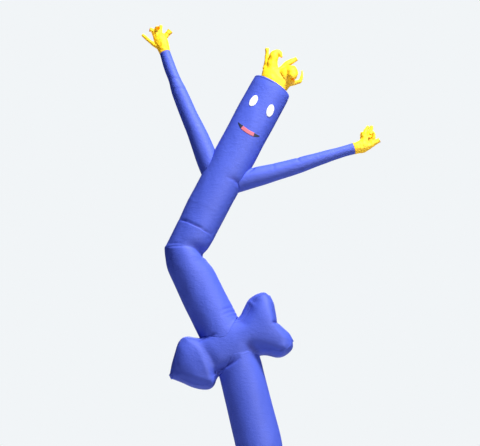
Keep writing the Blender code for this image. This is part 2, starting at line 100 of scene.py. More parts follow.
# A fold is a line of spots on the front, each with its share of the fold's depth, and the
# half width of its flank above the line and below it. A negative depth raises a ridge.
Spot = namedtuple("Spot", "x z share")
Fold = namedtuple("Fold", "above below depth spots")
LINE_STEPS = 24
ARROW_HOLLOWS = (
    Fold(0.050, 0.060, 0.030, ((-0.430, 2.470, 0.4), (-0.365, 2.380, 0.5), (-0.300, 2.270, 0.8), (-0.255, 2.170, 1.0))),
    Fold(0.065, 0.065, 0.060, ((-0.010, 2.690, 0.8), (0.045, 2.780, 1.0), (0.080, 2.870, 0.8))),
    Fold(0.065, 0.060, 0.060, ((0.080, 2.400, 0.7), (0.190, 2.360, 1.0), (0.320, 2.340, 0.8))),
)
ARROW_FOLDS = (
    Fold(0.035, 0.028, -0.007, ((-0.555, 2.480, 1.0), (-0.470, 2.420, 0.6), (-0.400, 2.290, 0.5), (-0.320, 2.090, 1.0))),
    Fold(0.030, 0.030, -0.008, ((-0.640, 2.140, 1.0), (-0.520, 2.140, 0.5), (-0.400, 2.110, 0.6), (-0.320, 2.090, 1.0))),
    Fold(0.016, 0.016, 0.010, ((0.345, 2.676, 1.0), (0.300, 2.660, 0.6), (0.255, 2.632, 0.0))),
    Fold(0.018, 0.018, -0.008, ((0.078, 2.862, 1.0), (0.100, 2.830, 0.6), (0.110, 2.780, 0.0))),
    Fold(0.030, 0.030, -0.010, ((0.395, 2.420, 1.0), (0.330, 2.400, 0.8), (0.270, 2.410, 0.0))),
)


def between(rows, place):
    """The row at a place between two rows of a table, on a smooth curve through them all."""
    last = len(rows) - 1
    k = max(0, min(int(place), last - 1))
    t = place - k
    near = [rows[max(0, min(last, k + n))] for n in (-1, 0, 1, 2)]
    return type(rows[0])(*(
        b + 0.5 * t * (c - a + t * (2 * a - 5 * b + 4 * c - d + t * (3 * (b - c) + d - a)))
        for a, b, c, d in zip(*near)
    ))


def heading(lean):
    """The direction of an axis that leans from the vertical towards +X, in degrees."""
    return Vector((math.sin(math.radians(lean)), 0.0, math.cos(math.radians(lean))))


def arrow_corner(round_share):
    """The section's outline: front panel, lower band, back panel, upper band, a quarter each."""
    quarter = min(int(round_share * 4), 3)
    side = (PANEL, BAND)[quarter % 2]
    corner = between(side, (round_share * 4 - quarter) * (len(side) - 1))
    flip = 1 - 2 * (quarter // 2)
    return Corner(corner.across * flip, corner.deep * flip)


def arrow_point(cut_at, corner, bulge=0.0):
    axis = heading(90.0 - ARROW_RISE)
    upwards = Vector((-axis.z, 0.0, axis.x))
    width = cut_at.up if corner.across > 0 else cut_at.down
    notch = cut_at.notch * max(0.0, 1 - abs(corner.across) / NOTCH_REACH)
    along = cut_at.along + cut_at.set_back * corner.deep**2 - notch + bulge
    aside = Vector((0.0, -corner.deep * cut_at.deep, 0.0))
    return ARROW_TIP + axis * along + upwards * corner.across * width + aside


def lay_sheet(bm, cells_across, cells_along, placed, size):
    """Add a flat sheet of cells, bend it through placed(across, along), and keep its flat map."""
    cloth_map = bm.loops.layers.uv.verify()
    flat = bmesh.ops.create_grid(bm, x_segments=cells_across, y_segments=cells_along, size=0.5)["verts"]
    shares = {v: (v.co.x + 0.5, v.co.y + 0.5) for v in flat}
    for vert, (across, along) in shares.items():
        vert.co, shares[vert] = placed(across, along)
    for face in {face for vert in flat for face in vert.link_faces}:
        for corner in face.loops:
            across, along = shares[corner.vert]
            corner[cloth_map].uv = (across * size[0], along * size[1])


def press_folds(bm, folds, side=-1.0, straight=False):
    """Press soft troughs into the side of a sheet that faces side along Y, along its normals
    or, where the trough is broad and the outline has to stay, straight back."""
    bm.normal_update()
    place = np.array([v.co for v in bm.verts])
    out = np.array([v.normal for v in bm.verts])
    facing = np.clip(out[:, 1] * side * 3 + 0.6, 0, 1)
    move = np.zeros(len(place))
    for fold in folds:
        spots = [Spot(*spot) for spot in fold.spots]
        line = np.array([between(spots, k / LINE_STEPS) for k in range(LINE_STEPS * (len(spots) - 1) + 1)])
        run = np.gradient(line[:, :2], axis=0)
        reach = 3 * max(fold.above, fold.below)
        flat = place[:, ::2]
        inside = (flat > line[:, :2].min(axis=0) - reach) & (flat < line[:, :2].max(axis=0) + reach)
        near = np.flatnonzero(inside.all(axis=1))
        apart = flat[near, None] - line[None, :, :2]
        nearest = np.linalg.norm(apart, axis=2).argmin(axis=1)
        gap = apart[np.arange(len(near)), nearest]
        over = run[nearest, 0] * gap[:, 1] - run[nearest, 1] * gap[:, 0] > 0
        away = np.linalg.norm(gap, axis=1) / np.where(over, fold.above, fold.below)
        move[near] -= fold.depth * np.exp(-away**2) * np.clip(line[nearest, 2], 0, 1) * facing[near]
    for vert, direction, distance in zip(bm.verts, out, move):
        vert.co += Vector((0, side, 0) if straight else direction) * float(distance)


def uneven(bm, amount, size):
    """The slight unevenness of blown-up cloth."""
    bm.normal_update()
    moves = [v.normal * noise.noise(Vector(a / b for a, b in zip(v.co, size))) * amount for v in bm.verts]
    for vert, move in zip(bm.verts, moves):
        vert.co += move


def relax(bm, times):
    """Smooth a cloth a little, as the air pulls its edges round."""
    for _ in range(times):
        bmesh.ops.smooth_vert(
            bm, verts=bm.verts, factor=0.5, use_axis_x=True, use_axis_y=True, use_axis_z=True
        )


def mark_crease_shade(bm):
    """Keep for each point, from 0 to 1, how deep it lies in a hollow of the cloth: the mask for the painted shade in
    the creases.
    """
    bm.normal_update()
    bm.verts.index_update()
    place = np.array([v.co for v in bm.verts])
    out = np.array([v.normal for v in bm.verts])
    pairs = np.array([[v.index for v in edge.verts] for edge in bm.edges])
    here, there = np.concatenate((pairs, pairs[:, ::-1])).T
    count = np.bincount(here, minlength=len(place))
    soft = place
    for _ in range(CREASE_SPREAD):
        total = [np.bincount(here, soft[there, axis], len(place)) for axis in range(3)]
        soft = (soft + np.stack(total, axis=1) / count[:, None]) / 2
    depth = ((soft - place) * out).sum(axis=1) / CREASE_DEPTH
    # This mask paints shade into the creases through the finishes.
    layer = bm.verts.layers.float.new("crease")
    for vert, share in zip(bm.verts, np.clip(depth, 0, 1)):
        vert[layer] = float(share)


def finished(bm, name, finish):
    """A piece in its finish, moved to the foot's place."""
    bmesh.ops.translate(bm, verts=bm.verts, vec=FOOT)
    mesh = bpy.data.meshes.new(name)
    bm.to_mesh(mesh)
    mesh.shade_smooth()
    mesh.materials.append(finish)
    piece = bpy.data.objects.new(name, mesh)
    bpy.context.scene.collection.objects.link(piece)
    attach(piece, "root")
    return piece


def cloth_object(bm, name, finish):
    """A sheet with the hollows of its folds marked for painted crease shade, and the cloth's thickness inwards."""
    mark_crease_shade(bm)
    piece = finished(bm, name, finish)
    wall = piece.modifiers.new("cloth", "SOLIDIFY")
    wall.thickness = CLOTH
    wall.offset = -1.0
    return piece


def new_node(tree, kind, inputs=(), **settings):
    """A shader node with its settings, and its inputs linked or set in order."""
    made = tree.nodes.new(kind)
    for key, value in settings.items():
        setattr(made, key, value)
    for socket, value in zip(made.inputs, inputs):
        if isinstance(value, bpy.types.NodeSocket):
            tree.links.new(value, socket)
        elif value is not None:
            socket.default_value = value
    return made


def maths(tree, operation, *inputs):
    return new_node(tree, "ShaderNodeMath", inputs, operation=operation).outputs[0]


RIP_PITCH = 0.0052
RIP_EDGE = 0.44
RIP_HEIGHT = 0.00012
THREAD_PITCH = 0.0009
THREAD_HEIGHT = 0.00004
CRINKLE_SQUEEZE = (1.0, 1.0, 1.9)


def noise_of(tree, place, scale, detail, distortion=0.0):
    made = new_node(tree, "ShaderNodeTexNoise", (place,), noise_dimensions="3D")
    made.inputs["Scale"].default_value = scale
    made.inputs["Detail"].default_value = detail
    made.inputs["Distortion"].default_value = distortion
    return made.outputs[0]


def ripstop_group():
    """Fine plain weave with a thicker thread every few millimetres, soft crumple, faded spots and painted shade in the
    creases.
    """
    group = bpy.data.node_groups.new("ripstop", "ShaderNodeTree")
    face = group.interface
    for socket, way, kind in (
        ("Colour", "INPUT", "Color"), ("CreaseShade", "INPUT", "Color"), ("CreaseShadeMask", "INPUT", "Float"),
        ("Cloth", "INPUT", "Vector"), ("Place", "INPUT", "Vector"), ("Crumple", "INPUT", "Float"),
        ("Colour", "OUTPUT", "Color"), ("Roughness", "OUTPUT", "Float"), ("Normal", "OUTPUT", "Vector"),
    ):
        face.new_socket(socket, in_out=way, socket_type="NodeSocket" + kind)
    start = group.nodes.new("NodeGroupInput").outputs
    end = group.nodes.new("NodeGroupOutput").inputs
    split = new_node(group, "ShaderNodeSeparateXYZ", (start["Cloth"],)).outputs
    rips, threads = [], []
    for direction in (split[0], split[1]):
        cell = maths(group, "FRACT", maths(group, "MULTIPLY", direction, 1 / RIP_PITCH))
        edge = maths(group, "ABSOLUTE", maths(group, "SUBTRACT", cell, 0.5))
        rips.append(maths(group, "GREATER_THAN", edge, RIP_EDGE))
        threads.append(maths(group, "SINE", maths(group, "MULTIPLY", direction, 2 * math.pi / THREAD_PITCH)))
    rip = maths(group, "MAXIMUM", *rips)
    weave = maths(group, "MULTIPLY", *threads)
    place = start["Place"]
    squeezed = new_node(group, "ShaderNodeVectorMath", (place, CRINKLE_SQUEEZE), operation="MULTIPLY").outputs[0]
    broad = noise_of(group, place, 2.2, 3.0)
    crumple = noise_of(group, squeezed, 17.0, 4.0, 0.6)
    fine = noise_of(group, squeezed, 48.0, 3.0)
    fade = maths(group, "MULTIPLY_ADD", broad, 0.36, 0.82)
    line = maths(group, "MULTIPLY_ADD", rip, -0.10, 1.0)
    shade = maths(group, "MULTIPLY_ADD", weave, 0.04, maths(group, "MULTIPLY", fade, line))
    # Painted shade: the colour turns towards the crease shade as deep as the cloth lies in a hollow.
    base = new_node(group, "ShaderNodeMixRGB", (start["CreaseShadeMask"], start["Colour"], start["CreaseShade"]))
    tone = new_node(group, "ShaderNodeVectorMath", (base.outputs[0],), operation="SCALE")
    group.links.new(shade, tone.inputs["Scale"])
    group.links.new(tone.outputs[0], end["Colour"])
    group.links.new(maths(group, "MULTIPLY_ADD", crumple, 0.20, 0.50), end["Roughness"])
    relief = maths(group, "MULTIPLY_ADD", rip, RIP_HEIGHT, maths(group, "MULTIPLY", weave, THREAD_HEIGHT))
    puckers = maths(group, "MULTIPLY_ADD", fine, 0.35, crumple)
    soft = maths(group, "MULTIPLY", puckers, start["Crumple"])
    bump = group.nodes.new("ShaderNodeBump")
    bump.inputs["Strength"].default_value = 1.0
    bump.inputs["Distance"].default_value = 1.0
    group.links.new(maths(group, "ADD", relief, soft), bump.inputs["Height"])
    group.links.new(bump.outputs[0], end["Normal"])
    return group


def nylon(name, colour, crease_shade, sheen, crumple, glow=0.0, mapped=True):
    """Coated nylon, with painted shade in its creases. Its weave follows the cloth's flat map, or the piece itself if
    unmapped,
    and glow is painted light: an emission in the cloth's deeper colour that stands in for light coming through the thin
    cloth."""
    mat = bpy.data.materials.new(name)
    mat.use_nodes = True
    tree = mat.node_tree
    shader = tree.nodes["Principled BSDF"]
    weave = tree.nodes.new("ShaderNodeGroup")
    weave.node_tree = RIPSTOP
    weave.inputs["Colour"].default_value = (*colour, 1.0)
    weave.inputs["CreaseShade"].default_value = (*crease_shade, 1.0)
    # The crease mask, read for the painted shade.
    hollow = new_node(tree, "ShaderNodeAttribute", attribute_name="crease")
    tree.links.new(hollow.outputs["Fac"], weave.inputs["CreaseShadeMask"])
    weave.inputs["Crumple"].default_value = crumple
    place = tree.nodes.new("ShaderNodeTexCoord").outputs
    tree.links.new(place["UV" if mapped else "Object"], weave.inputs["Cloth"])
    tree.links.new(place["Object"], weave.inputs["Place"])
    tree.links.new(weave.outputs["Colour"], shader.inputs["Base Color"])
    tree.links.new(weave.outputs["Roughness"], shader.inputs["Roughness"])
    tree.links.new(weave.outputs["Normal"], shader.inputs["Normal"])
    shader.inputs["Sheen Weight"].default_value = sheen
    shader.inputs["Sheen Roughness"].default_value = 0.35
    shader.inputs["Specular IOR Level"].default_value = 0.26
    # Painted light: the cloth glows in its colour squared, as if lit through from behind.
    shader.inputs["Emission Color"].default_value = (*(part * part for part in colour), 1.0)
    shader.inputs["Emission Strength"].default_value = glow
    return mat


RIPSTOP = ripstop_group()
# The blue's glow is painted light, and its creases take painted shade.
blue_nylon = nylon("blue_nylon", BLUE, BLUE_CREASE_SHADE, 0.0, 0.0036, glow=0.15)


def arrow_sheet():
    """The panels and band as one rolled sheet, closed at the nose and the tail by the band."""
    bm = bmesh.new()

    def wall(across, along):
        cut_at = between(ARROW, along * (len(ARROW) - 1))
        return arrow_point(cut_at, arrow_corner(across % 1.0)), (across, cut_at.along)

    def end(cut_at, bulge):
        def placed(down, back):
            corner = arrow_corner((0.875 + down / 2) % 1.0)
            swell = bulge * (1 - (1 - 2 * back) ** 2)
            spot = arrow_point(cut_at, Corner(corner.across, corner.deep * (1 - 2 * back)), swell)
            return spot, (down, back * 0.3)
        return placed

    lay_sheet(bm, ARROW_CELLS_ROUND, ARROW_CELLS_ALONG, wall, (1.8, 1.0))
    half = ARROW_CELLS_ROUND // 2
    lay_sheet(bm, half, ARROW_CELLS_DEEP, end(ARROW[0], NOSE_BULGE), (0.3, 1.0))
    lay_sheet(bm, half, ARROW_CELLS_DEEP, end(ARROW[-1], TAIL_BULGE), (0.6, 1.0))
    bmesh.ops.remove_doubles(bm, verts=bm.verts, dist=0.0002)
    bmesh.ops.recalc_face_normals(bm, faces=bm.faces)
    return bm


arrow_bm = arrow_sheet()
relax(arrow_bm, CORNER_RELAX)
uneven(arrow_bm, 0.006, (0.16, 0.16, 0.16))
press_folds(arrow_bm, ARROW_HOLLOWS, straight=True)
press_folds(arrow_bm, ARROW_FOLDS)
arrow_skin = BVHTree.FromBMesh(arrow_bm)

# The lower tube
# One length of blue nylon rolled round and sewn up the back, from the open hem that
# fits over the blower's collar to the arrow, where it is sewn into the side band.
TUBE_RADIUS = 0.2285
STRAIGHT_SLEEVE = 0.40
BODY_CELLS_ROUND = 160
FRONT_CELLS = 0.35

# A ring of a tube: its centre, its lean, its half width, its half depth and the number
# of the cloth's cells from it to the next.
Row = namedtuple("Row", "x z lean wide deep cells")
BODY_LOWER = (
    Row(0.000, 0.000, 0.0, TUBE_RADIUS, TUBE_RADIUS, 10),
    Row(0.000, 0.150, 0.0, TUBE_RADIUS, TUBE_RADIUS, 10),
    Row(0.000, 0.300, 0.0, TUBE_RADIUS, TUBE_RADIUS, 8),
    Row(0.0005, STRAIGHT_SLEEVE, 0.5, TUBE_RADIUS, TUBE_RADIUS, 10),
    Row(0.0110, 0.5400, 7.6, 0.2285, 0.2285, 10),
    Row(0.0372, 0.6806, 12.6, 0.2280, 0.2280, 10),
    Row(0.0714, 0.8215, 14.6, 0.2280, 0.2275, 10),
    Row(0.1084, 0.9620, 14.5, 0.2275, 0.2270, 10),
    Row(0.1407, 1.1020, 10.9, 0.2275, 0.2265, 10),
    Row(0.1617, 1.2410, 5.5, 0.2270, 0.2255, 10),
    Row(0.1658, 1.3760, -3.5, 0.2265, 0.2250, 10),
    Row(0.148, 1.509, -12.0, 0.2265, 0.2245, 18),
    Row(0.084, 1.765, -14.5, 0.2250, 0.2220, 18),
    Row(0.020, 2.020, -14.5, 0.2235, 0.2200, 12),
    Row(-0.010, 2.135, -14.8, 0.2225, 0.2210, 12),
    Row(-0.036, 2.236, -15.0, 0.2220, 0.2240, 14),
    Row(-0.075, 2.360, -20.0, 0.2180, 0.2260, 1),
)


def spine(rows):
    """A ring for each of the cloth's cells along a tube, on a smooth curve through the given ones."""
    return [
        between(rows, k + number / row.cells) for k, row in enumerate(rows[:-1]) for number in range(row.cells)
    ] + [rows[-1]]


def turn_at(share):
    """The turn at a share of the way round from the back seam. The front has the finer cells."""
    return math.pi / 2 + 2 * math.pi * share + FRONT_CELLS * math.sin(2 * math.pi * share)


def on_ring(row, turn):
    """A point on a ring: 0 is its +X side and a quarter turn is its back."""
    axis = heading(row.lean)
    aside = Vector((axis.z, 0.0, -axis.x)) * row.wide * math.cos(turn)
    return Vector((row.x, 0.0, row.z)) + aside + Vector((0, row.deep * math.sin(turn), 0))


def on_tube(rows, share, turn):
    place = max(0.0, min(1.0, share)) * (len(rows) - 1)
    low = min(int(place), len(rows) - 2)
    a, b = on_ring(rows[low], turn), on_ring(rows[low + 1], turn)
    return a + (b - a) * (place - low)


def meeting(rows, cells_round, skin, from_far_end=False):
    """For each line along a tube, the share of its length at which it meets another cloth."""
    shares = []
    for column in range(cells_round):
        turn = turn_at(column / cells_round)
        points = [on_ring(row, turn) for row in rows]
        order = range(len(points) - 1)
        if from_far_end:
            order = range(len(points) - 1, 0, -1)
        share = 0.0 if from_far_end else 1.0
        for k in order:
            other = k - 1 if from_far_end else k + 1
            way = points[other] - points[k]
            hit = skin.ray_cast(points[k], way, way.length)[0]
            if hit:
                share = (k + (other - k) * (hit - points[k]).length / way.length) / (len(points) - 1)
                break
        shares.append(share)
    return shares


def roll_tube(rows, cells_round, starts=None, ends=None):
    """A sheet rolled into a tube and sewn up its back, its ends cut to where it meets others."""
    bm = bmesh.new()
    girth = 2 * math.pi * max(row.wide for row in rows)
    steps = [math.hypot(b.x - a.x, b.z - a.z) for a, b in zip(rows, rows[1:])]
    reach = [sum(steps[:k]) for k in range(len(rows))]

    def placed(across, along):
        column = round(across * cells_round) % cells_round
        first = starts[column] if starts else 0.0
        last = ends[column] if ends else 1.0
        share = first + (last - first) * along
        far = float(np.interp(share * len(steps), range(len(rows)), reach))
        turn = turn_at(across)
        return on_tube(rows, share, turn), ((turn - math.pi / 2) / (2 * math.pi), far)

    lay_sheet(bm, cells_round, len(steps), placed, (girth, 1.0))
    bmesh.ops.remove_doubles(bm, verts=bm.verts, dist=0.0001)
    return bm


lower_rows = spine(BODY_LOWER)
lower_bm = roll_tube(lower_rows, BODY_CELLS_ROUND, ends=meeting(lower_rows, BODY_CELLS_ROUND, arrow_skin))
uneven(lower_bm, 0.004, (0.12, 0.12, 0.6))

# The upper tube
# The same tube from the arrow to the rim of the head. It is slack enough to kink at the
# knee, where the lower stretch bulges over the crease, and to fold once above it.
BODY_UPPER = (
    Row(-0.180, 2.500, -27.0, 0.2200, 0.2260, 10),
    Row(-0.225, 2.590, -26.7, 0.2200, 0.2230, 12),
    Row(-0.270, 2.680, -26.5, 0.2200, 0.2190, 16),
    Row(-0.336, 2.810, -26.5, 0.2190, 0.2160, 10),
    Row(-0.403, 2.940, -26.5, 0.2180, 0.2140, 14),
    Row(-0.490, 3.120, -23.0, 0.2130, 0.2130, 12),
    Row(-0.564, 3.250, -13.0, 0.2060, 0.2150, 12),
    Row(-0.588, 3.330, 0.0, 0.2030, 0.2150, 9),
    Row(-0.599, 3.378, 8.5, 0.2030, 0.2100, 5),
    Row(-0.599, 3.402, 11.0, 0.2040, 0.2060, 5),
    Row(-0.588, 3.424, 13.0, 0.2000, 0.2040, 9),
    Row(-0.560, 3.474, 19.0, 0.2000, 0.2030, 12),
    Row(-0.510, 3.570, 27.0, 0.2030, 0.2050, 8),
    Row(-0.484, 3.620, 28.5, 0.2050, 0.2050, 5),
    Row(-0.472, 3.643, 28.0, 0.2040, 0.2040, 14),
    Row(-0.393, 3.809, 27.0, 0.2090, 0.2070, 10),
    Row(-0.331, 3.930, 27.0, 0.2110, 0.2100, 52),
    Row(0.069, 4.704, 27.5, 0.2150, 0.2150, 18),
    Row(0.206, 4.966, 27.5, 0.2150, 0.2150, 11),
    Row(0.272, 5.094, 28.5, 0.2140, 0.2140, 9),
    Row(0.3045, 5.156, 31.0, 0.2080, 0.2080, 1),
)
UPPER_FOLDS = (
    Fold(0.060, 0.022, 0.026, ((-0.660, 3.440, 0.0), (-0.590, 3.434, 0.4), (-0.520, 3.420, 0.8),
                               (-0.450, 3.392, 1.0), (-0.400, 3.350, 0.6))),
    Fold(0.016, 0.012, 0.006, ((-0.740, 3.462, 0.3), (-0.680, 3.457, 1.0), (-0.600, 3.452, 0.0))),
    Fold(0.014, 0.012, 0.006, ((-0.760, 3.425, 0.5), (-0.680, 3.426, 1.0), (-0.600, 3.424, 0.0))),
    Fold(0.018, 0.011, 0.009, ((-0.650, 3.712, 0.2), (-0.600, 3.692, 1.0), (-0.530, 3.664, 0.5), (-0.500, 3.655, 0.0))),
    Fold(0.016, 0.010, 0.010, ((-0.560, 3.672, 0.0), (-0.510, 3.648, 0.8), (-0.450, 3.622, 1.0), (-0.400, 3.602, 0.0))),
    Fold(0.014, 0.010, 0.008, ((-0.430, 3.602, 0.0), (-0.380, 3.582, 0.8), (-0.330, 3.562, 0.2))),
    Fold(0.014, 0.014, 0.016, ((-0.045, 2.715, 1.0), (-0.095, 2.690, 0.8), (-0.150, 2.640, 0.0))),
    Fold(0.013, 0.013, 0.012, ((-0.060, 2.745, 1.0), (-0.110, 2.730, 0.7), (-0.180, 2.690, 0.0))),
    Fold(0.013, 0.013, 0.010, ((-0.075, 2.785, 0.8), (-0.130, 2.768, 0.7), (-0.220, 2.715, 0.0))),
    Fold(0.014, 0.014, 0.007, ((-0.100, 2.825, 0.6), (-0.170, 2.800, 0.7), (-0.250, 2.750, 0.0))),
    Fold(0.030, 0.020, 0.011, ((-0.200, 4.145, 0.0), (-0.101, 4.125, 0.7), (-0.035, 4.085, 1.0))),
)
BACK_FOLDS = (
    Fold(0.050, 0.022, 0.018, ((-0.660, 3.440, 0.3), (-0.520, 3.420, 0.8), (-0.400, 3.350, 1.0))),
    Fold(0.016, 0.012, 0.010, ((-0.600, 3.692, 0.0), (-0.530, 3.664, 0.8), (-0.430, 3.620, 0.0))),
)
upper_rows = spine(BODY_UPPER)
upper_bm = roll_tube(
    upper_rows, BODY_CELLS_ROUND, starts=meeting(upper_rows, BODY_CELLS_ROUND, arrow_skin, from_far_end=True)
)
uneven(upper_bm, 0.004, (0.12, 0.12, 0.6))
press_folds(upper_bm, UPPER_FOLDS)
press_folds(upper_bm, BACK_FOLDS, side=1.0)

# The seams at the arrow
# Both tubes are sewn into the arrow's band all round. The air swells the cloth on either
# side of the seam into one soft slope, and it pinches into creases at the corners.
SEAM_REACH = 0.17
SEAM_VOXEL = 0.011
SEAM_RELAX = 26
SEAM_STEP = 0.005
SEAM_HEIGHT = 0.0022
PUCKER_STEPS = 3.4
STITCH = Vector((0.0034, 0.0009, 0.0008))
STITCH_PITCH = 0.0095
STITCH_RISE = 0.0026
BACK_SEAM = 0.016
EDGE_SEAM = 0.009
HEM = 0.030
HEM_STITCHES = 0.009
SEAM_STITCHES = 0.0052
SEAM_TURNS = 160
LOWER_SEAM_TOP = 2.16
UPPER_SEAM_FOOT = 2.72
EDGE_STEPS = 90
EDGE_ENDS = (5, 86)
SEAM_CELLS = 6
SEAM_LIFT = 0.0002
PUCKER = 0.35
BLUE_THREAD = (0.11, 0.16, 0.62)
SEAM_FOLDS = (
    Fold(0.018, 0.016, 0.022, ((-0.430, 2.480, 1.0), (-0.385, 2.496, 1.0), (-0.326, 2.516, 0.6), (-0.250, 2.552, 0.0))),
    Fold(0.040, 0.018, 0.032, ((-0.250, 2.165, 1.0), (-0.210, 2.200, 1.0), (-0.130, 2.246, 0.7), (-0.020, 2.315, 0.0))),
)


def close_tube(bm, rings):
    """Join rings of equally many points into a closed tube with a flat end at each."""
    edges = []
    for ring in rings:
        loop = [bm.verts.new(point) for point in ring]
        edges.append([bm.edges.new(pair) for pair in zip(loop, loop[1:] + loop[:1])])
    for low, high in zip(edges, edges[1:]):
        bmesh.ops.bridge_loops(bm, edges=low + high)
    for loop in (edges[0], edges[-1]):
        bmesh.ops.contextual_create(bm, geom=loop)


def grow_together(bm, voxel, times):
    """One skin round closed parts that run into each other, relaxed where they meet."""
    mesh = bpy.data.meshes.new("rough")
    bm.to_mesh(mesh)
    bm.free()
    rough = bpy.data.objects.new("rough", mesh)
    bpy.context.scene.collection.objects.link(rough)
    grown = rough.modifiers.new("grown", "REMESH")
    grown.mode = "VOXEL"
    grown.voxel_size = voxel
    graph = bpy.context.evaluated_depsgraph_get()
    skin = bpy.data.meshes.new_from_object(rough.evaluated_get(graph))
    bpy.data.objects.remove(rough)
    bpy.data.meshes.remove(mesh)
    bm = bmesh.new()
    bm.from_mesh(skin)
    bpy.data.meshes.remove(skin)
    relax(bm, times)
    return bm


def waist_skin():
    """The skin of the arrow and the tubes' ends, as if they were one bag."""
    bm = arrow_bm.copy()
    turns = [turn_at(n / BODY_CELLS_ROUND) for n in range(BODY_CELLS_ROUND)]
    for rows in ([row for row in lower_rows if row.z > 1.6], [row for row in upper_rows if row.z < 3.1]):
        close_tube(bm, [[on_ring(row, turn) for turn in turns] for row in rows])
    bmesh.ops.recalc_face_normals(bm, faces=bm.faces)
    return BVHTree.FromBMesh(grow_together(bm, SEAM_VOXEL, SEAM_RELAX))


def ease_seam(bm, others, whole):
    """Lay the front and back of a sheet, near where it meets others, on the skin of the whole."""
    bm.normal_update()
    for vert in bm.verts:
        near = [skin.find_nearest(vert.co, SEAM_REACH) for skin in others]
        near = [hit for hit in near if hit[0] is not None]
        if not near or any((vert.co - hit[0]).dot(hit[1]) < -0.004 for hit in near):
            continue
        share = (1 - (min(hit[3] for hit in near) / SEAM_REACH)**2)**2
        share *= min(1.0, 1.6 * abs(vert.normal.y))
        vert.co = vert.co.lerp(whole.find_nearest(vert.co)[0], share)


def on_cloth(skin, spots):
    """The nearest places on a cloth and its outward directions there."""
    return [skin.find_nearest(spot)[:2] for spot in spots]


def even_path(path, step):
    """A seam's places, outward directions and headings, even steps apart."""
    spots, outs = np.array([spot for spot, _ in path]), np.array([out for _, out in path])
    reach = np.concatenate(([0.0], np.cumsum(np.linalg.norm(np.diff(spots, axis=0), axis=1))))
    places = np.linspace(0.0, reach[-1], max(3, round(reach[-1] / step) + 1))
    spots, outs = (np.stack([np.interp(places, reach, v) for v in values.T], axis=1) for values in (spots, outs))
    heads = np.gradient(spots, axis=0)
    return [tuple(Vector(v).normalized() if k else Vector(v) for k, v in enumerate(row))
            for row in zip(spots, outs, heads)]


def lay_seam(bm, path, width):
    """Lay a doubled strip of the cloth along a seam, puckered by its stitches."""
    line = even_path(path, SEAM_STEP)

    def placed(across, along):
        step = round(along * (len(line) - 1))
        spot, out, head = line[step]
        side = 2 * across - 1
        rise = SEAM_HEIGHT * (1 - side**4) * (1 + PUCKER * math.sin(2 * math.pi * step / PUCKER_STEPS))
        place = spot + head.cross(out) * side * width / 2 + out * (rise + SEAM_LIFT)
        return place, (across * width, step * SEAM_STEP)

    lay_sheet(bm, SEAM_CELLS, len(line) - 1, placed, (1.0, 1.0))


def sew(name, rows, finish):
    """Rows of stitches, each (path, distance aside from it), as one piece of thread."""
    bm = bmesh.new()
    for path, aside in rows:
        for spot, out, head in even_path(path, STITCH_PITCH)[1:-1]:
            beside = head.cross(out)
            turned = Matrix((head * STITCH.x, beside * STITCH.y, out * STITCH.z)).transposed().to_4x4()
            turned.translation = spot + beside * aside + out * STITCH_RISE
            bmesh.ops.create_icosphere(bm, subdivisions=1, radius=1.0, matrix=turned)
    bmesh.ops.recalc_face_normals(bm, faces=bm.faces)
    piece = finished(bm, name, finish)


lower_skin = BVHTree.FromBMesh(lower_bm)
upper_skin = BVHTree.FromBMesh(upper_bm)
whole_skin = waist_skin()
ease_seam(arrow_bm, (lower_skin, upper_skin), whole_skin)
ease_seam(lower_bm, (arrow_skin,), whole_skin)
ease_seam(upper_bm, (arrow_skin,), whole_skin)
for bm in (arrow_bm, lower_bm, upper_bm):
    press_folds(bm, SEAM_FOLDS, straight=True)
body_skin = BVHTree.FromBMesh(upper_bm)

# The tubes' back seams, the hem and the arrow's four edge seams, each sewn down.
lower_skin, arrow_skin = BVHTree.FromBMesh(lower_bm), BVHTree.FromBMesh(arrow_bm)
back = math.pi / 2
lower_back = on_cloth(lower_skin, [on_ring(row, back) for row in lower_rows if HEM < row.z < LOWER_SEAM_TOP])
upper_back = on_cloth(body_skin, [on_ring(row, back) for row in upper_rows if row.z > UPPER_SEAM_FOOT])
hem_ring = BODY_LOWER[0]._replace(z=HEM / 2)
seam_turns = [2 * math.pi * n / SEAM_TURNS for n in range(SEAM_TURNS + 1)]
hem_path = on_cloth(lower_skin, [on_ring(hem_ring, turn) for turn in seam_turns])
edge_paths = [
    on_cloth(arrow_skin, [
        arrow_point(
            between(ARROW, n * (len(ARROW) - 1) / EDGE_STEPS), Corner(side * PANEL[0].across, face * PANEL[0].deep)
        )
        for n in range(*EDGE_ENDS)
    ])
    for side in (-1, 1) for face in (-1, 1)
]
lay_seam(lower_bm, hem_path, HEM)
lay_seam(lower_bm, lower_back, BACK_SEAM)
lay_seam(upper_bm, upper_back, BACK_SEAM)
for path in edge_paths:
    lay_seam(arrow_bm, path, EDGE_SEAM)
blue_thread = nylon("blue_thread", BLUE_THREAD, BLUE_CREASE_SHADE, 0.0, 0.0, mapped=False)
back_rows = [(path, aside) for path in (lower_back, upper_back) for aside in (-SEAM_STITCHES, SEAM_STITCHES)]
hem_rows = [(hem_path, aside) for aside in (-HEM_STITCHES, HEM_STITCHES)]
sew("body_thread", back_rows + hem_rows, blue_thread)
sew("arrow_thread", [(path, 0.0) for path in edge_paths], blue_thread)
for bm, node, flat, area in (
    (arrow_bm, "arrow", (1.45, 1.62), 2.03),
    (lower_bm, "body_lower", (1.44, 2.40), 3.25),
    (upper_bm, "body_upper", (1.38, 2.95), 3.70),
):
    piece = cloth_object(bm, node + "_cloth", blue_nylon)
    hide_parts(node)

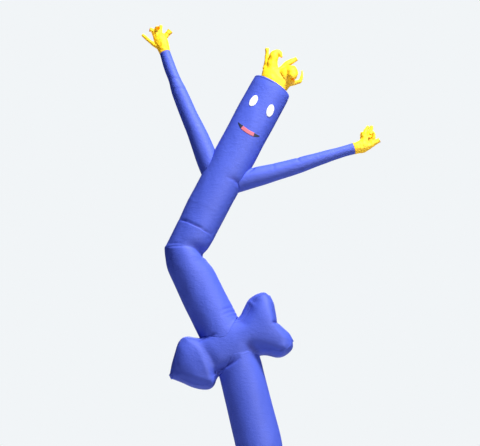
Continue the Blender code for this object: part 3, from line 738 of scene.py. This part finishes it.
# The cap of the head
# A round panel of the same nylon lapped over the tube's top edge, with an oval hole that
# the hair stands in. The air domes it slightly, and the hole's seam gathers it.
HAIR_FOOT = (0.150, 0.105)
HOLE_LIP = 0.004
CapRing = namedtuple("CapRing", "inwards height grow")
CAP = (
    CapRing(0.00, -0.014, 0.0024),
    CapRing(0.00, 0.0010, 0.0018),
    CapRing(0.06, 0.0050, 0.0),
    CapRing(0.25, 0.0110, 0.0),
    CapRing(0.60, 0.0175, 0.0),
    CapRing(1.00, 0.0220, 0.0),
)
CAP_GATHERS = 22
CAP_GATHER_DEPTH = 0.0025
CAP_CELLS = 30


def cap_sheet():
    bm = bmesh.new()
    rim = BODY_UPPER[-1]
    hole = rim._replace(wide=HAIR_FOOT[0] - HOLE_LIP, deep=HAIR_FOOT[1] - HOLE_LIP)

    def placed(across, along):
        ring = between(CAP, along * (len(CAP) - 1))
        turn = math.pi / 2 + 2 * math.pi * across
        outside = on_ring(rim._replace(wide=rim.wide + ring.grow, deep=rim.deep + ring.grow), turn)
        gather = CAP_GATHER_DEPTH * ring.inwards * math.sin(CAP_GATHERS * turn)
        spot = outside.lerp(on_ring(hole, turn), ring.inwards) + heading(rim.lean) * (ring.height + gather)
        return spot, (across, ring.inwards)

    lay_sheet(bm, BODY_CELLS_ROUND, CAP_CELLS, placed, (1.3, 0.10))
    bmesh.ops.remove_doubles(bm, verts=bm.verts, dist=0.0001)
    return bm


# The lap's stitches run 7 mm below the rim.
lap = BODY_UPPER[-1]._replace(x=BODY_UPPER[-1].x - 0.0036, z=BODY_UPPER[-1].z - 0.006)
lap_middle = Vector((lap.x, 0, lap.z))
rim_path = [(on_ring(lap, turn), (on_ring(lap, turn) - lap_middle).normalized()) for turn in seam_turns]
sew("cap_thread", [(rim_path, 0.0)], blue_thread)
head_cap = cloth_object(cap_sheet(), "head_cap_cloth", blue_nylon)
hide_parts("head_cap")

# The arms
# Two tapered sleeves of the same nylon. Each is cut to the curve of the tube's side and
# sewn round a hole in it, so that it blows up from the body.
ARM_CELLS_ROUND = 72
ARM_ROOT = 0.16
ARM_CLEAR = 0.012
ARM_LEFT = (
    Row(-0.285, 4.160, -21.0, 0.1160, 0.1160, 19),
    Row(-0.364, 4.355, -21.0, 0.1140, 0.1140, 20),
    Row(-0.447, 4.574, -21.0, 0.1060, 0.1080, 13),
    Row(-0.500, 4.704, -22.0, 0.0970, 0.0990, 13),
    Row(-0.558, 4.834, -24.0, 0.0900, 0.0920, 24),
    Row(-0.666, 5.097, -22.0, 0.0800, 0.0820, 13),
    Row(-0.715, 5.229, -20.0, 0.0650, 0.0690, 13),
    Row(-0.767, 5.361, -21.0, 0.0620, 0.0640, 16),
    Row(-0.825, 5.538, -20.0, 0.0560, 0.0560, 1),
)
ARM_RIGHT = (
    Row(-0.090, 4.118, 74.0, 0.1070, 0.1070, 14),
    Row(0.090, 4.170, 74.0, 0.1050, 0.1050, 10),
    Row(0.182, 4.194, 75.0, 0.1010, 0.1020, 16),
    Row(0.348, 4.239, 74.0, 0.0900, 0.0920, 16),
    Row(0.514, 4.287, 73.0, 0.0840, 0.0850, 16),
    Row(0.681, 4.340, 72.5, 0.0750, 0.0760, 16),
    Row(0.847, 4.394, 72.5, 0.0650, 0.0670, 16),
    Row(1.015, 4.447, 73.0, 0.0570, 0.0600, 13),
    Row(1.152, 4.487, 75.0, 0.0570, 0.0570, 1),
)
RIGHT_ARM_FOLDS = (
    Fold(0.014, 0.014, 0.014, ((0.110, 4.262, 1.0), (0.080, 4.235, 0.8), (0.045, 4.200, 0.0))),
    Fold(0.016, 0.016, 0.004, ((0.300, 4.330, 0.4), (0.320, 4.270, 0.8), (0.310, 4.200, 0.0))),
    Fold(0.014, 0.014, 0.005, ((0.560, 4.395, 1.0), (0.575, 4.350, 0.8), (0.580, 4.300, 0.0))),
)
LEFT_ARM_FOLDS = (
    Fold(0.014, 0.014, 0.005, ((-0.610, 5.125, 0.6), (-0.650, 5.130, 0.9), (-0.740, 5.110, 0.5))),
    Fold(0.014, 0.014, 0.004, ((-0.650, 5.220, 0.6), (-0.700, 5.235, 0.9), (-0.770, 5.230, 0.5))),
)
for name, rows, folds in (("arm_left", ARM_LEFT, LEFT_ARM_FOLDS), ("arm_right", ARM_RIGHT, RIGHT_ARM_FOLDS)):
    arm_rows = spine(rows)
    arm_bm = roll_tube(arm_rows, ARM_CELLS_ROUND, starts=meeting(arm_rows, ARM_CELLS_ROUND, body_skin, True))
    uneven(arm_bm, 0.002, (0.10, 0.10, 0.20))
    press_folds(arm_bm, folds)
    backs = [
        on_ring(row, back) for row in arm_rows if math.hypot(row.x - rows[0].x, row.z - rows[0].z) > ARM_ROOT
    ]
    backs = [spot for spot in backs if body_skin.find_nearest(spot)[3] > ARM_CLEAR]
    arm_back = on_cloth(BVHTree.FromBMesh(arm_bm), backs)
    lay_seam(arm_bm, arm_back, BACK_SEAM)
    arm_stitches = [(arm_back, aside) for aside in (-SEAM_STITCHES, SEAM_STITCHES)]
    sew(name + "_thread", arm_stitches, blue_thread)
    arm = cloth_object(arm_bm, name + "_cloth", blue_nylon)
    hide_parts(name)

# The gloves
# Yellow nylon, one at the end of each sleeve: a flattened palm and five fingers, left
# open at their tips so that the air leaves there and keeps them waving.
YELLOW = (0.930, 0.600, 0.014)
# The orange that the yellow's creases take is painted shade.
ORANGE_CREASE_SHADE = (0.780, 0.340, 0.005)
GLOVE_VOXEL = 0.004
WEB_RELAX = 4
CUFF = 0.016
CUFF_MIDDLE = 0.009
CUFF_STITCHES = 0.0045
Joint = namedtuple("Joint", "x y z radius")
HAND_LEFT_PALM = (
    Row(-0.8252, 5.5385, -20.0, 0.0560, 0.0560, 8),
    Row(-0.846, 5.606, -16.0, 0.0660, 0.0560, 8),
    Row(-0.868, 5.668, -12.0, 0.0710, 0.0480, 7),
    Row(-0.878, 5.722, -5.0, 0.0640, 0.0380, 4),
    Row(-0.879, 5.752, 0.0, 0.0480, 0.0260, 1),
)
HAND_LEFT_FINGERS = (
    ((-0.878, 0.000, 5.595, 0.032), (-0.931, 0.000, 5.623, 0.024), (-0.990, 0.000, 5.668, 0.019),
     (-1.067, 0.000, 5.735, 0.016)),
    ((-0.917, 0.000, 5.690, 0.028), (-0.942, 0.000, 5.752, 0.024), (-0.963, -0.010, 5.783, 0.022),
     (-0.987, -0.020, 5.788, 0.022)),
    ((-0.900, -0.005, 5.699, 0.028), (-0.916, -0.012, 5.764, 0.025), (-0.913, -0.022, 5.801, 0.023),
     (-0.896, -0.055, 5.792, 0.019)),
    ((-0.875, 0.008, 5.704, 0.028), (-0.880, 0.018, 5.787, 0.022), (-0.873, 0.022, 5.849, 0.018)),
    ((-0.858, 0.000, 5.657, 0.034), (-0.812, 0.000, 5.733, 0.029), (-0.773, 0.000, 5.781, 0.031)),
)
HAND_RIGHT_PALM = (
    Row(1.1525, 4.4872, 75.0, 0.0570, 0.0570, 8),
    Row(1.213, 4.501, 72.0, 0.0660, 0.0560, 8),
    Row(1.266, 4.531, 58.0, 0.0720, 0.0500, 7),
    Row(1.300, 4.574, 42.0, 0.0660, 0.0400, 4),
    Row(1.320, 4.606, 32.0, 0.0480, 0.0260, 1),
)
HAND_RIGHT_FINGERS = (
    ((1.266, 0.000, 4.537, 0.040), (1.269, 0.000, 4.623, 0.039), (1.285, 0.000, 4.681, 0.026),
     (1.311, 0.000, 4.727, 0.014)),
    ((1.309, 0.012, 4.551, 0.029), (1.329, 0.020, 4.661, 0.023), (1.349, 0.024, 4.738, 0.015)),
    ((1.328, -0.008, 4.534, 0.029), (1.355, -0.025, 4.589, 0.022), (1.355, -0.040, 4.635, 0.020),
     (1.335, -0.062, 4.644, 0.017), (1.318, -0.076, 4.619, 0.014)),
    ((1.280, -0.008, 4.491, 0.035), (1.358, -0.018, 4.538, 0.028), (1.418, -0.022, 4.574, 0.025)),
    ((1.251, 0.006, 4.549, 0.027), (1.242, 0.014, 4.622, 0.020), (1.245, 0.018, 4.665, 0.014)),
)
YELLOW_THREAD = (0.86, 0.50, 0.02)
# The yellow's glow is painted light that warms its shaded sides to orange, and its creases take painted orange shade.
yellow_nylon = nylon("yellow_nylon", YELLOW, ORANGE_CREASE_SHADE, 0.0, 0.0016, glow=0.24, mapped=False)
yellow_thread = nylon("yellow_thread", YELLOW_THREAD, ORANGE_CREASE_SHADE, 0.0, 0.0, mapped=False)


def finger_rings(joints, sides=20, step=0.008):
    """Rings square to a finger's path, on a smooth curve through its joints."""
    reach = sum((Vector(b[:3]) - Vector(a[:3])).length for a, b in zip(joints, joints[1:]))
    count = max(4, round(reach / step))
    rows = [between([Joint(*j) for j in joints], k * (len(joints) - 1) / count) for k in range(count + 1)]
    points = [Vector(row[:3]) for row in rows]
    rings = []
    aside = Vector((0.0, 1.0, 0.0))
    for k, (row, point) in enumerate(zip(rows, points)):
        axis = (points[min(k + 1, count)] - points[max(k - 1, 0)]).normalized()
        across = aside.cross(axis).normalized()
        aside = axis.cross(across).normalized()
        turns = [2 * math.pi * n / sides for n in range(sides)]
        rings.append([point + (across * math.cos(a) + aside * math.sin(a)) * row.radius for a in turns])
    return rings


def blown_glove(palm, fingers, voxel):
    """Palm and fingers grown together into one skin, relaxed at the webs, then cut open."""
    bm = bmesh.new()
    rows = spine(palm)
    foot = heading(palm[0].lean)
    stub = rows[0]._replace(x=rows[0].x - foot.x * 0.02, z=rows[0].z - foot.z * 0.02)
    turns = [2 * math.pi * n / 40 for n in range(40)]
    close_tube(bm, [[on_ring(row, turn) for turn in turns] for row in [stub] + rows])
    for joints in fingers:
        longer = list(joints)
        last, before = Vector(joints[-1][:3]), Vector(joints[-2][:3])
        tip = last + (last - before).normalized() * 0.012
        longer.append((*tip, joints[-1][3]))
        close_tube(bm, finger_rings(longer))
    bmesh.ops.recalc_face_normals(bm, faces=bm.faces)
    bm = grow_together(bm, voxel, WEB_RELAX)
    cut_open(bm, Vector((palm[0].x, 0, palm[0].z)), -foot, palm[0].wide * 1.6)
    for joints in fingers:
        last, before = Vector(joints[-1][:3]), Vector(joints[-2][:3])
        cut_open(bm, last, (last - before).normalized(), joints[-1][3] * 2.0)
    return bm


def cut_open(bm, place, outwards, reach):
    """Cut off what lies beyond a plane near a place, and leave the edge open."""
    near = [face for face in bm.faces if (face.calc_center_median() - place).length < reach]
    verts = {v for face in near for v in face.verts}
    edges = {e for face in near for e in face.edges}
    bmesh.ops.bisect_plane(
        bm, geom=list(verts) + list(edges) + near, dist=0.00001, plane_co=place, plane_no=outwards,
        clear_outer=True,
    )
    stray = [v for v in bm.verts if not v.link_faces]
    bmesh.ops.delete(bm, geom=stray, context="VERTS")


for name, palm, fingers in (
    ("hand_left", HAND_LEFT_PALM, HAND_LEFT_FINGERS),
    ("hand_right", HAND_RIGHT_PALM, HAND_RIGHT_FINGERS),
):
    glove_bm = blown_glove(palm, fingers, GLOVE_VOXEL)
    uneven(glove_bm, 0.005, (0.03, 0.03, 0.03))
    inwards = heading(palm[0].lean) * CUFF_MIDDLE
    wrist = palm[0]._replace(x=palm[0].x + inwards.x, z=palm[0].z + inwards.z)
    turns = [2 * math.pi * n / ARM_CELLS_ROUND for n in range(ARM_CELLS_ROUND + 1)]
    cuff = on_cloth(BVHTree.FromBMesh(glove_bm), [on_ring(wrist, turn) for turn in turns])
    lay_seam(glove_bm, cuff, CUFF)
    sew(name + "_thread", [(cuff, aside) for aside in (-CUFF_STITCHES, CUFF_STITCHES)], yellow_thread)
    glove = cloth_object(glove_bm, "glove" + name[4:], yellow_nylon)
    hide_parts(name)

# The hair
# A crown of five open tubes in the yellow nylon, sewn into the cap's hole. The wide ones
# fold over, so that only the thin ones stand straight up.
HAIR_PALM = (
    Row(0.3161, 5.1752, 31.0, 0.1500, 0.1050, 7),
    Row(0.342, 5.225, 30.0, 0.1620, 0.1050, 7),
    Row(0.362, 5.280, 31.0, 0.1660, 0.0900, 6),
    Row(0.376, 5.325, 32.0, 0.1550, 0.0660, 3),
    Row(0.384, 5.350, 32.0, 0.1200, 0.0420, 1),
)
HAIR_FINGERS = (
    ((0.266, 0.010, 5.359, 0.061), (0.266, 0.016, 5.439, 0.041), (0.256, 0.018, 5.507, 0.022),
     (0.259, 0.018, 5.592, 0.017)),
    ((0.305, -0.012, 5.341, 0.067), (0.316, -0.026, 5.430, 0.053), (0.337, -0.032, 5.498, 0.050),
     (0.374, -0.036, 5.516, 0.037), (0.412, -0.042, 5.472, 0.014)),
    ((0.403, 0.014, 5.339, 0.040), (0.473, 0.022, 5.419, 0.033), (0.568, 0.022, 5.479, 0.022)),
    ((0.428, -0.020, 5.261, 0.084), (0.493, -0.040, 5.298, 0.082), (0.511, -0.070, 5.281, 0.071),
     (0.516, -0.098, 5.232, 0.048), (0.517, -0.110, 5.206, 0.018)),
    ((0.460, 0.006, 5.198, 0.032), (0.555, 0.008, 5.208, 0.025), (0.607, 0.008, 5.230, 0.022),
     (0.624, 0.006, 5.285, 0.015), (0.625, 0.004, 5.342, 0.008)),
)
HAIR_VOXEL = 0.0045
hair_bm = blown_glove(HAIR_PALM, HAIR_FINGERS, HAIR_VOXEL)
uneven(hair_bm, 0.008, (0.05, 0.05, 0.05))
hair = cloth_object(hair_bm, "hair_crown", yellow_nylon)
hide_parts("hair")

# The face
# Two white ovals and a mouth in three pieces, a red one between two dark ones, cut from
# plain cloth and sewn flat on the head.
Eye = namedtuple("Eye", "across along tilt half_width half_height")
EYES = {
    "eye_left": Eye(-0.076, 0.281, 0.0, 0.040, 0.064),
    "eye_right": Eye(0.133, 0.289, -8.0, 0.042, 0.066),
}
SMILE_RADIUS = 0.278
SMILE_CENTRE = (0.045, 0.325)
SMILE = {
    "smile_dark_left": (-34.5, -20.2, 0.006, 0.040),
    "smile_red": (-19.8, 10.8, 0.040, 0.040),
    "smile_dark_right": (11.2, 25.5, 0.040, 0.006),
}
PATCH_LIFT = 0.0022
EYE_STEPS = 56
EYE_STITCHES = 0.93
HEAD_TOP, HEAD_CHEST = BODY_UPPER[-1], BODY_UPPER[-4]
HEAD_AXIS = Vector((HEAD_TOP.x - HEAD_CHEST.x, 0, HEAD_TOP.z - HEAD_CHEST.z)).normalized()


def head_out(across):
    """The outward direction at a distance round the head from its front."""
    turn = across / HEAD_CHEST.wide
    return Vector((HEAD_AXIS.z, 0.0, -HEAD_AXIS.x)) * math.sin(turn) - Vector((0, 1, 0)) * math.cos(turn)


def head_point(across, along):
    """A point on the head's cloth: along runs down from the rim's middle, across to +X."""
    middle = Vector((HEAD_TOP.x, 0, HEAD_TOP.z)) - HEAD_AXIS * along
    spot, _, _, _ = body_skin.ray_cast(middle + head_out(across) * 0.5, -head_out(across))
    return spot + head_out(across) * PATCH_LIFT


def patch(name, bm, placed, finish):
    """A flat patch laid on the head through placed(vertex), in its finish, with its part hidden."""
    cloth_map = bm.loops.layers.uv.verify()
    flat = {v: placed(v) for v in bm.verts}
    for face in bm.faces:
        for corner in face.loops:
            corner[cloth_map].uv = flat[corner.vert]
    for vert, (across, along) in flat.items():
        vert.co = head_point(across, along)
    bm.normal_update()
    if sum(face.normal.y for face in bm.faces) > 0:
        bmesh.ops.reverse_faces(bm, faces=bm.faces)
    piece = cloth_object(bm, name + "_patch", finish)
    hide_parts(name)
    return piece


# Each patch's second colour is the painted shade in its creases.
white_patch = nylon("white_patch", (0.88, 0.88, 0.86), (0.50, 0.50, 0.55), 0.05, 0.0008)
red_patch = nylon("red_patch", (0.62, 0.15, 0.20), (0.30, 0.05, 0.08), 0.05, 0.0008)
black_patch = nylon("black_patch", (0.018, 0.022, 0.040), (0.01, 0.01, 0.02), 0.05, 0.0008)
white_thread = nylon("white_thread", (0.80, 0.80, 0.80), (0.5, 0.5, 0.5), 0.0, 0.0, mapped=False)
for name, eye in EYES.items():
    oval = bmesh.new()
    spokes = [oval.verts.new((r / 8, 0, 0)) for r in range(9)]
    lines = [oval.edges.new(pair) for pair in zip(spokes, spokes[1:])]
    bmesh.ops.spin(
        oval, geom=spokes + lines, cent=(0, 0, 0), axis=(0, 0, 1), angle=2 * math.pi, steps=EYE_STEPS, use_merge=True
    )
    bmesh.ops.remove_doubles(oval, verts=oval.verts, dist=0.0001)
    tilt = math.radians(eye.tilt)

    def in_eye(x, y):
        x, y = x * eye.half_width, y * eye.half_height
        across = eye.across + x * math.cos(tilt) - y * math.sin(tilt)
        return across, eye.along + x * math.sin(tilt) + y * math.cos(tilt)

    border = []
    for n in range(EYE_STEPS + 1):
        turn = 2 * math.pi * n / EYE_STEPS
        across, along = in_eye(EYE_STITCHES * math.cos(turn), EYE_STITCHES * math.sin(turn))
        border.append((head_point(across, along), head_out(across)))
    sew(name + "_thread", [(border, 0.0)], white_thread)
    piece = patch(name, oval, lambda v: in_eye(v.co.x, v.co.y), white_patch)

for name, (first, last, first_width, last_width) in SMILE.items():
    strip = bmesh.new()
    bmesh.ops.create_grid(strip, x_segments=28, y_segments=8, size=0.5)

    def on_mouth(v):
        t = v.co.x + 0.5
        turn = math.radians(first + (last - first) * t)
        radius = SMILE_RADIUS + (first_width + (last_width - first_width) * t) * v.co.y
        return SMILE_CENTRE[0] + radius * math.sin(turn), SMILE_CENTRE[1] + radius * math.cos(turn)

    red = name == "smile_red"
    piece = patch(name, strip, on_mouth, red_patch if red else black_patch)
    flat, area = ((0.15, 0.04), 0.0059) if red else ((0.07, 0.04), 0.0017)

# The floor
# A plain pale sheet of studio floor under the foot.
floor_bm = bmesh.new()
bmesh.ops.create_grid(floor_bm, x_segments=1, y_segments=1, size=30.0)
floor_mesh = bpy.data.meshes.new("floor")
floor_bm.to_mesh(floor_mesh)
floor = bpy.data.objects.new("floor", floor_mesh)
bpy.context.scene.collection.objects.link(floor)
floor_paint = bpy.data.materials.new("floor_paint")
floor_paint.use_nodes = True
floor_shader = floor_paint.node_tree.nodes["Principled BSDF"]
floor_shader.inputs["Base Color"].default_value = (0.50, 0.51, 0.52, 1.0)
floor_shader.inputs["Roughness"].default_value = 0.9
floor_mesh.materials.append(floor_paint)

# The light and the camera
# A large soft light high on the right, a broad one at head height that shows only as
# gloss, a weak one behind, and the camera low in front of the dancer, looking up at it.
Lamp = namedtuple("Lamp", "place size power")
LAMPS = {
    "key": Lamp((3.8, -5.2, 12.4), 3.0, 2950.0),
    "gloss": Lamp((6.0, -8.0, 3.0), 5.0, 1500.0),
    "back": Lamp((-0.6, 9.0, 6.0), 5.0, 500.0),
}
AIM = Vector((-0.35, 0.0, 3.4))
SHADE = ((0.36, 0.46, 1.0, 1.0), 0.07)
BACKDROP = ((0.90, 0.93, 0.95, 1.0), 0.98)
for name, (place, size, power) in LAMPS.items():
    lamp = bpy.data.lights.new(name, "AREA")
    lamp.shape = "SQUARE"
    lamp.size = size
    lamp.energy = power
    holder = bpy.data.objects.new(name, lamp)
    holder.location = place
    holder.visible_diffuse = name != "gloss"
    holder.rotation_euler = (AIM - Vector(place)).to_track_quat("-Z", "Y").to_euler()
    bpy.context.scene.collection.objects.link(holder)

world = bpy.data.worlds.new("studio")
bpy.context.scene.world = world
world.use_nodes = True
sky = world.node_tree
seen = new_node(sky, "ShaderNodeLightPath").outputs["Is Camera Ray"]
strength = maths(sky, "MULTIPLY_ADD", seen, BACKDROP[1] - SHADE[1], SHADE[1])
sky.links.new(strength, sky.nodes["Background"].inputs["Strength"])
shown = new_node(sky, "ShaderNodeMixRGB", (seen, SHADE[0], BACKDROP[0]))
sky.links.new(shown.outputs[0], sky.nodes["Background"].inputs["Color"])
bpy.context.scene.view_settings.view_transform = "Standard"

view = bpy.data.cameras.new("camera")
view.lens = 82.0
view.sensor_width = 36.0
camera = bpy.data.objects.new("camera", view)
camera.location = FOOT + Vector((-0.03, -11.0, 1.5))
camera.rotation_euler = (math.radians(90 + 11.3), 0.0, 0.0)
bpy.context.scene.collection.objects.link(camera)
bpy.context.scene.camera = camera
